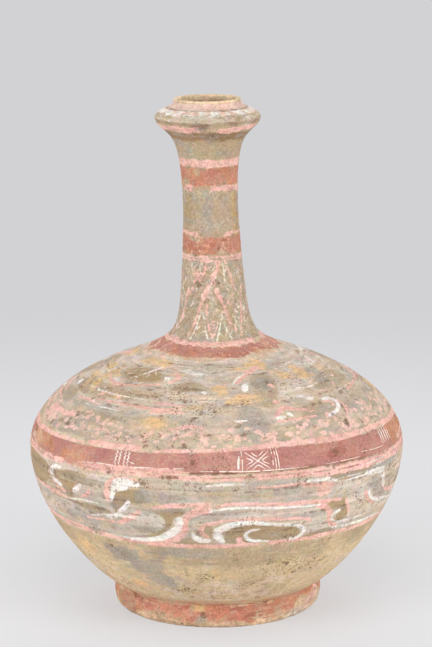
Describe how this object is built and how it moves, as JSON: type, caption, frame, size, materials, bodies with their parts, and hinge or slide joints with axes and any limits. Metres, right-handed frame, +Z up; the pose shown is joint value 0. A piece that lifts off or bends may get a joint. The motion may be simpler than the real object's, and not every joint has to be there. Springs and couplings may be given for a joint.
{
  "type": "vase",
  "caption": "Round-bodied earthenware bottle vase with a tall slender neck, a wide rimmed mouth and a ring foot, hollow and open at the lip.",
  "frame": {"origin": "centre of the foot ring on the surface that the vase stands on", "axes": "+Z up along the body's axis; the painted front faces -Y, and the neck leans slightly towards -X"},
  "size_m": [0.2802, 0.2802, 0.3815],
  "materials": {
    "foot_clay": "matte fired clay with a worn red wash",
    "bowl_clay": "matte buff fired clay",
    "shoulder_clay": "matte fired clay with cold-painted bands",
    "neck_clay": "matte fired clay with cold-painted bands",
    "mouth_clay": "matte fired clay with cold-painted bands",
    "luting_slip": "rough clay slip"
  },
  "bodies": {
    "root": {"foot_ring": "foot_clay", "lower_bowl": "bowl_clay", "shoulder": "shoulder_clay", "neck": "neck_clay", "mouth": "mouth_clay", "foot_slip": "luting_slip", "belly_slip": "luting_slip", "neck_slip": "luting_slip", "mouth_slip": "luting_slip"}
  },
  "joints": []
}
